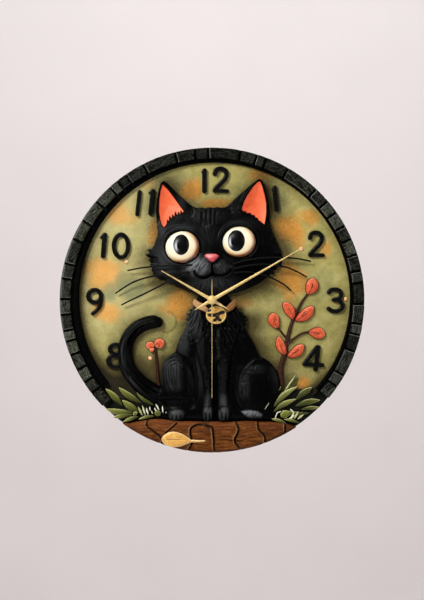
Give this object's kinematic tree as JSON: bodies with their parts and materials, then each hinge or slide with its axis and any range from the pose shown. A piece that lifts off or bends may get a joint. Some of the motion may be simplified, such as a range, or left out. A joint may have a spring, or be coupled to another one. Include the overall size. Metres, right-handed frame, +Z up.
{
  "type": "wall clock",
  "caption": "Round wall clock with a relief cat on a ledge, brick rim, raised numerals and gold hands, driven by a geared quartz movement hung from a strap.",
  "frame": {"origin": "where the hanger strap bears on its nail, in the wall plane, 45 mm above the hand shaft", "axes": "+Z up, +X to the right as the dial is read, +Y into the wall, so the dial faces -Y"},
  "size_m": [0.3048, 0.0498, 0.3048],
  "materials": {
    "shell": "moulded charcoal resin, satin",
    "dial": "olive stucco paint with orange patches, matte",
    "bezel": "black lacquer",
    "bricks": "charcoal green paint, dry-brushed pale on the edges",
    "ledge": "red-brown paint with a wood grain",
    "numerals": "gloss black",
    "cat": "satin black, brushed fur",
    "ear_inner": "coral orange paint",
    "eyes": "glazed ivory",
    "pupils": "gloss black",
    "nose": "satin pink",
    "whiskers": "satin black",
    "collar": "tan paint",
    "bell": "antique gold paint",
    "branch": "coral paint, dark outline",
    "flower": "coral paint, dark stem",
    "leaves": "olive paint, cream edges",
    "ledge_leaf": "gold paint",
    "hands": "pale gold anodised sheet",
    "movement": "black moulded ABS",
    "steel": "bright steel sheet",
    "brass": "turned brass",
    "board": "green laminate",
    "copper": "enamelled copper wire",
    "gears": "natural acetal",
    "knob": "amber acetal",
    "magnet": "ferrite magnet with plastic pinion",
    "battery": "plain dark sleeve, no print"
  },
  "bodies": {
    "root": {"clock_body": "shell", "dial_panel": "dial", "rim_bezel": "bezel", "brick_rim": "bricks", "ledge": "ledge", "numeral_12_one": "numerals", "numeral_12_two": "numerals", "numeral_1": "numerals", "numeral_2": "numerals", "numeral_3": "numerals", "numeral_4": "numerals", "numeral_8": "numerals", "numeral_9": "numerals", "numeral_10_one": "numerals", "numeral_10_zero": "numerals", "numeral_11_one_left": "numerals", "numeral_11_one_right": "numerals", "cat_head": "cat", "cat_body": "cat", "cat_tail": "cat", "inner_ear_left": "ear_inner", "inner_ear_right": "ear_inner", "eye_left": "eyes", "eye_right": "eyes", "pupil_left": "pupils", "pupil_right": "pupils", "nose": "nose", "whiskers_left": "whiskers", "whiskers_right": "whiskers", "collar": "collar", "bell": "bell", "branch": "branch", "flower": "flower", "leaves_left": "leaves", "leaves_right": "leaves", "ledge_leaf": "ledge_leaf", "movement_case": "movement", "movement_cover": "movement", "shaft_washer": "steel", "shaft_nut": "brass", "hanger": "steel", "circuit_board": "board", "coil": "copper", "stator": "steel", "battery_contact_positive": "steel", "battery_contact_negative": "steel"},
    "hour_hand": {"hour_wheel": "gears", "hour_hand": "hands"},
    "minute_hand": {"centre_wheel": "brass", "minute_hand": "hands"},
    "second_hand": {"second_wheel": "gears", "second_hand": "hands"},
    "third_wheel": {"third_wheel": "gears"},
    "intermediate_wheel": {"intermediate_wheel": "gears"},
    "rotor": {"rotor": "magnet"},
    "minute_wheel": {"minute_wheel": "gears"},
    "set_knob": {"set_knob": "knob"},
    "battery": {"battery": "battery"}
  },
  "joints": [
    {"name": "second_hand_spin", "type": "hinge", "parent": "root", "child": "second_hand", "pos_m": [0, 0, -0.045], "axis": [0, 1, 0], "continuous": true},
    {"name": "minute_hand_spin", "type": "hinge", "parent": "root", "child": "minute_hand", "pos_m": [0, 0, -0.045], "axis": [0, 1, 0], "continuous": true},
    {"name": "hour_hand_spin", "type": "hinge", "parent": "root", "child": "hour_hand", "pos_m": [0, 0, -0.045], "axis": [0, 1, 0], "continuous": true},
    {"name": "third_wheel_spin", "type": "hinge", "parent": "root", "child": "third_wheel", "pos_m": [0.00902, 0, -0.04172], "axis": [0, 1, 0], "continuous": true},
    {"name": "intermediate_wheel_spin", "type": "hinge", "parent": "root", "child": "intermediate_wheel", "pos_m": [-0.0048, 0, -0.03669], "axis": [0, 1, 0], "continuous": true},
    {"name": "rotor_spin", "type": "hinge", "parent": "root", "child": "rotor", "pos_m": [-0.00826, 0, -0.03068], "axis": [0, 1, 0], "continuous": true},
    {"name": "minute_wheel_spin", "type": "hinge", "parent": "root", "child": "minute_wheel", "pos_m": [-0.0096, 0, -0.045], "axis": [0, 1, 0], "continuous": true},
    {"name": "set_knob_spin", "type": "hinge", "parent": "root", "child": "set_knob", "pos_m": [-0.0192, 0, -0.045], "axis": [0, 1, 0], "continuous": true},
    {"name": "battery_slide", "type": "slide", "parent": "root", "child": "battery", "axis": [0, 1, 0], "range_m": [0, 0.02]}
  ],
  "couplings": [
    {"joint": "minute_hand_spin", "follows": "second_hand_spin", "ratio": 0.016667},
    {"joint": "hour_hand_spin", "follows": "second_hand_spin", "ratio": 0.0013889},
    {"joint": "third_wheel_spin", "follows": "second_hand_spin", "ratio": -0.13333},
    {"joint": "intermediate_wheel_spin", "follows": "second_hand_spin", "ratio": -5},
    {"joint": "rotor_spin", "follows": "second_hand_spin", "ratio": 30},
    {"joint": "minute_wheel_spin", "follows": "second_hand_spin", "ratio": -0.0055556},
    {"joint": "set_knob_spin", "follows": "second_hand_spin", "ratio": 0.016667}
  ]
}
